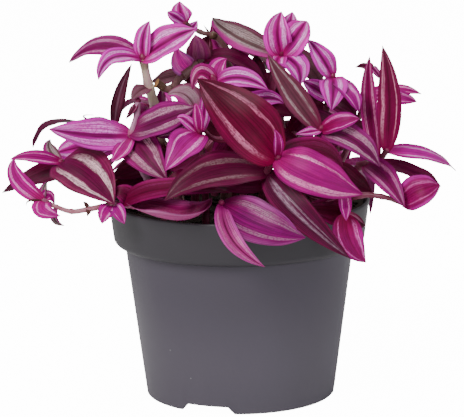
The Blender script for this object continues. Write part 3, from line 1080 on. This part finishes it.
def soilHeight(x, y):
    form = soilForm
    rough = sum(share * noise.noise(Vector((x, y, 0)) * turns) for turns, share in form["lumps"])
    off = (math.degrees(math.atan2(y, x)) - form["heapTurn"]) / form["heapSpread"]
    outward = min(max((math.hypot(x, y) - form["heapFrom"]) / form["heapWidth"], 0.0), 1.0)
    heap = form["heapRise"] * math.exp(-off * off) * outward * outward
    return form["top"] + form["rough"] * rough + heap


def addCrumb(shape, form, draw):
    radius = (form["edge"] - form["crumbInset"]) * math.sqrt(draw.random())
    a = draw.uniform(0, form["turn"])
    size = draw.uniform(*form["crumbSize"]) * draw.uniform(*form["crumbShare"])
    x, y = radius * math.cos(a), radius * math.sin(a)
    middle = Vector((x, y, soilHeight(x, y) + form["crumbRise"] * size))
    stretch = [draw.uniform(*span) * size for span in form["crumbSpans"]]
    first = len(shape.points)
    for corner in crumbCorners:
        jitter = draw.uniform(*form["crumbJitter"])
        shape.addPoint(middle + Vector([c * s * jitter for c, s in zip(corner, stretch)]))
    for side in crumbSides:
        shape.addFace(tuple(first + i for i in side), "soil")


def makeSoil(form, draw):
    shape = Shape()
    count = form["rings"]
    profile = list(form["lower"])
    tops = [form["edge"] * (1 - k / count) for k in range(count + 1)]
    profile += [(max(form["middle"], radius), None) for radius in tops]
    rings = []
    for radius, z in profile:
        ring = []
        for i in range(form["sides"]):
            a = 2 * math.pi * i / form["sides"]
            x, y = radius * math.cos(a), radius * math.sin(a)
            ring.append(shape.addPoint(Vector((x, y, soilHeight(x, y) if z is None else z))))
        rings.append(ring)
    shape.addRings(rings, "soil")
    shape.capEnds(rings, "soil")
    for _ in range(form["crumbs"]):
        addCrumb(shape, form, draw)
    return shape.make("soilCrumbs", sharp=25)


soil = makeSoil(soilForm, draw)
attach(soil, "root")
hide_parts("soil")
print("soil made")


studio = {
    "floorSize": 8, "floorDrop": 0.0002,  # m
    "world": (1.0, 1.0, 1.0, 1.0), "worldStrength": 0.38, "backdrop": 14.0,
    "aim": (0, 0, 0.1),
    "lights": {  # place in m, size in m, watts, colour
        "key": ((-0.9, -1.2, 1.3), 0.8, 32, (1.0, 0.98, 0.96)),
        "fill": ((1.2, -1.1, 0.7), 1.0, 7, (0.96, 0.98, 1.0)),
        "top": ((0.1, 0.5, 1.5), 1.0, 8.5, (1.0, 1.0, 1.0)),
    },
}
floorFinish = {
    "Scale": 3.0, "Stretch": 1.0, "First": (0.88, 0.88, 0.885), "Second": (0.9, 0.9, 0.9),
    "Fleck": (0.9, 0.9, 0.9), "Fleck Share": 0.0,
}
floorBump = (0.02, 0.1)
floorShine = {"Roughness": 0.7, "Emission Color": (1, 1, 1, 1)}


def makeFloor(values):
    half = values["floorSize"]
    mesh = bpy.data.meshes.new("floor")
    mesh.from_pydata([(-half, -half, 0), (half, -half, 0), (half, half, 0), (-half, half, 0)], [],
                     [(0, 1, 2, 3)])
    paint = makeMaterial("floorPaint", mottle, floorFinish, floorBump, floorShine)
    net = Nodes(paint.node_tree)  # the floor looks white, and doesn't light the pot from below
    seen = net.make("LightPath").outputs["Is Camera Ray"]
    glow = net.tree.nodes["Principled BSDF"].inputs["Emission Strength"]
    net.feed(net.times(seen, values["backdrop"]), glow)
    mesh.materials.append(paint)
    floor = bpy.data.objects.new("floor", mesh)
    floor.location.z = -values["floorDrop"]
    bpy.context.scene.collection.objects.link(floor)
    floor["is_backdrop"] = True


def makeWorld(values):
    world = bpy.data.worlds.new("studio")
    world.use_nodes = True
    net = Nodes(world.node_tree)
    back = net.tree.nodes["Background"].inputs
    back["Color"].default_value = values["world"]
    seen = net.make("LightPath").outputs["Is Camera Ray"]
    net.feed(net.plus(seen, values["backdrop"], values["worldStrength"]), back["Strength"])
    bpy.context.scene.world = world


def makeLights(values):
    for name, (spot, size, watts, colour) in values["lights"].items():
        lamp = bpy.data.lights.new(name, "AREA")
        lamp.size = size
        lamp.energy = watts
        lamp.color = colour
        holder = bpy.data.objects.new(name, lamp)
        bpy.context.scene.collection.objects.link(holder)
        holder.location = spot
        heading = Vector(values["aim"]) - Vector(spot)
        holder.rotation_euler = heading.to_track_quat("-Z", "Y").to_euler()


makeFloor(studio)
makeWorld(studio)
makeLights(studio)
print("floor and light made")

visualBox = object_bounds()
for label, box in (("visual", visualBox), ("CAD", cadBox)):
    print(label, "box in mm:", [round(v / mm, 1) for corner in box for v in corner])
